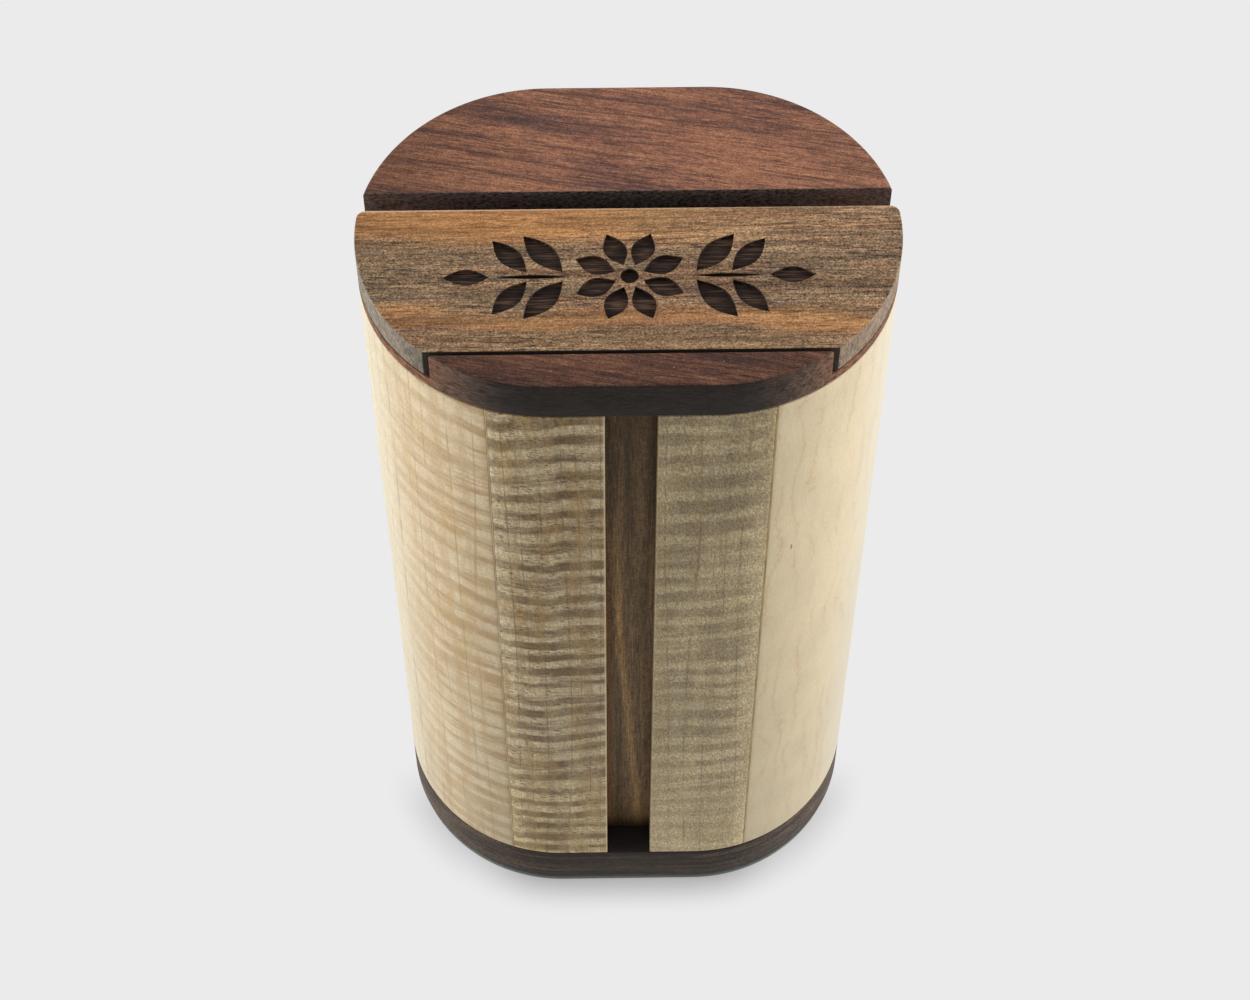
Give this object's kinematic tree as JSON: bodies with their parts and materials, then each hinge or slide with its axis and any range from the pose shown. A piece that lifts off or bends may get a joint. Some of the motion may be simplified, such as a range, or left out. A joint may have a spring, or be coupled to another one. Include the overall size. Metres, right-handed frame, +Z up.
{
  "type": "donation box",
  "caption": "Oval-ended wooden donation box with a maple body, walnut base, rear coin slot, lift-off lid and an engraved panel that slides sideways in the lid.",
  "frame": {"origin": "middle of the underside of the felt pad", "axes": "+Z up along the height, -Y out of the front face with the wide recess, +X to the right seen from the front"},
  "size_m": [0.108, 0.076, 0.208],
  "materials": {
    "curly_maple": "satin oiled maple with strong cross curl",
    "plain_maple": "satin oiled plain maple",
    "walnut": "satin oiled dark walnut",
    "light_walnut": "open-grained walnut with laser-burnt engraving",
    "rosewood": "satin oiled reddish rosewood",
    "felt": "dark green felt",
    "brass": "plain brass"
  },
  "bodies": {
    "box": {"felt_pad": "felt", "base_plate": "walnut", "front_left_stave": "curly_maple", "front_right_stave": "curly_maple", "left_side_stave": "curly_maple", "right_side_stave": "plain_maple", "rear_left_stave": "curly_maple", "rear_right_stave": "curly_maple", "front_strip": "walnut", "rear_strip": "walnut"},
    "lid": {"lid_plate": "rosewood", "lid_rim": "plain_maple"},
    "panel": {"engraved_panel": "light_walnut", "panel_key": "plain_maple", "key_batten": "plain_maple", "key_screw_front": "brass", "key_screw_rear": "brass"}
  },
  "joints": [
    {"name": "lid_lift", "type": "slide", "parent": "box", "child": "lid", "axis": [0, 0, 1], "range_m": [0, 0.06]},
    {"name": "panel_slide", "type": "slide", "parent": "lid", "child": "panel", "axis": [1, 0, 0], "range_m": [0, 0.037]}
  ]
}
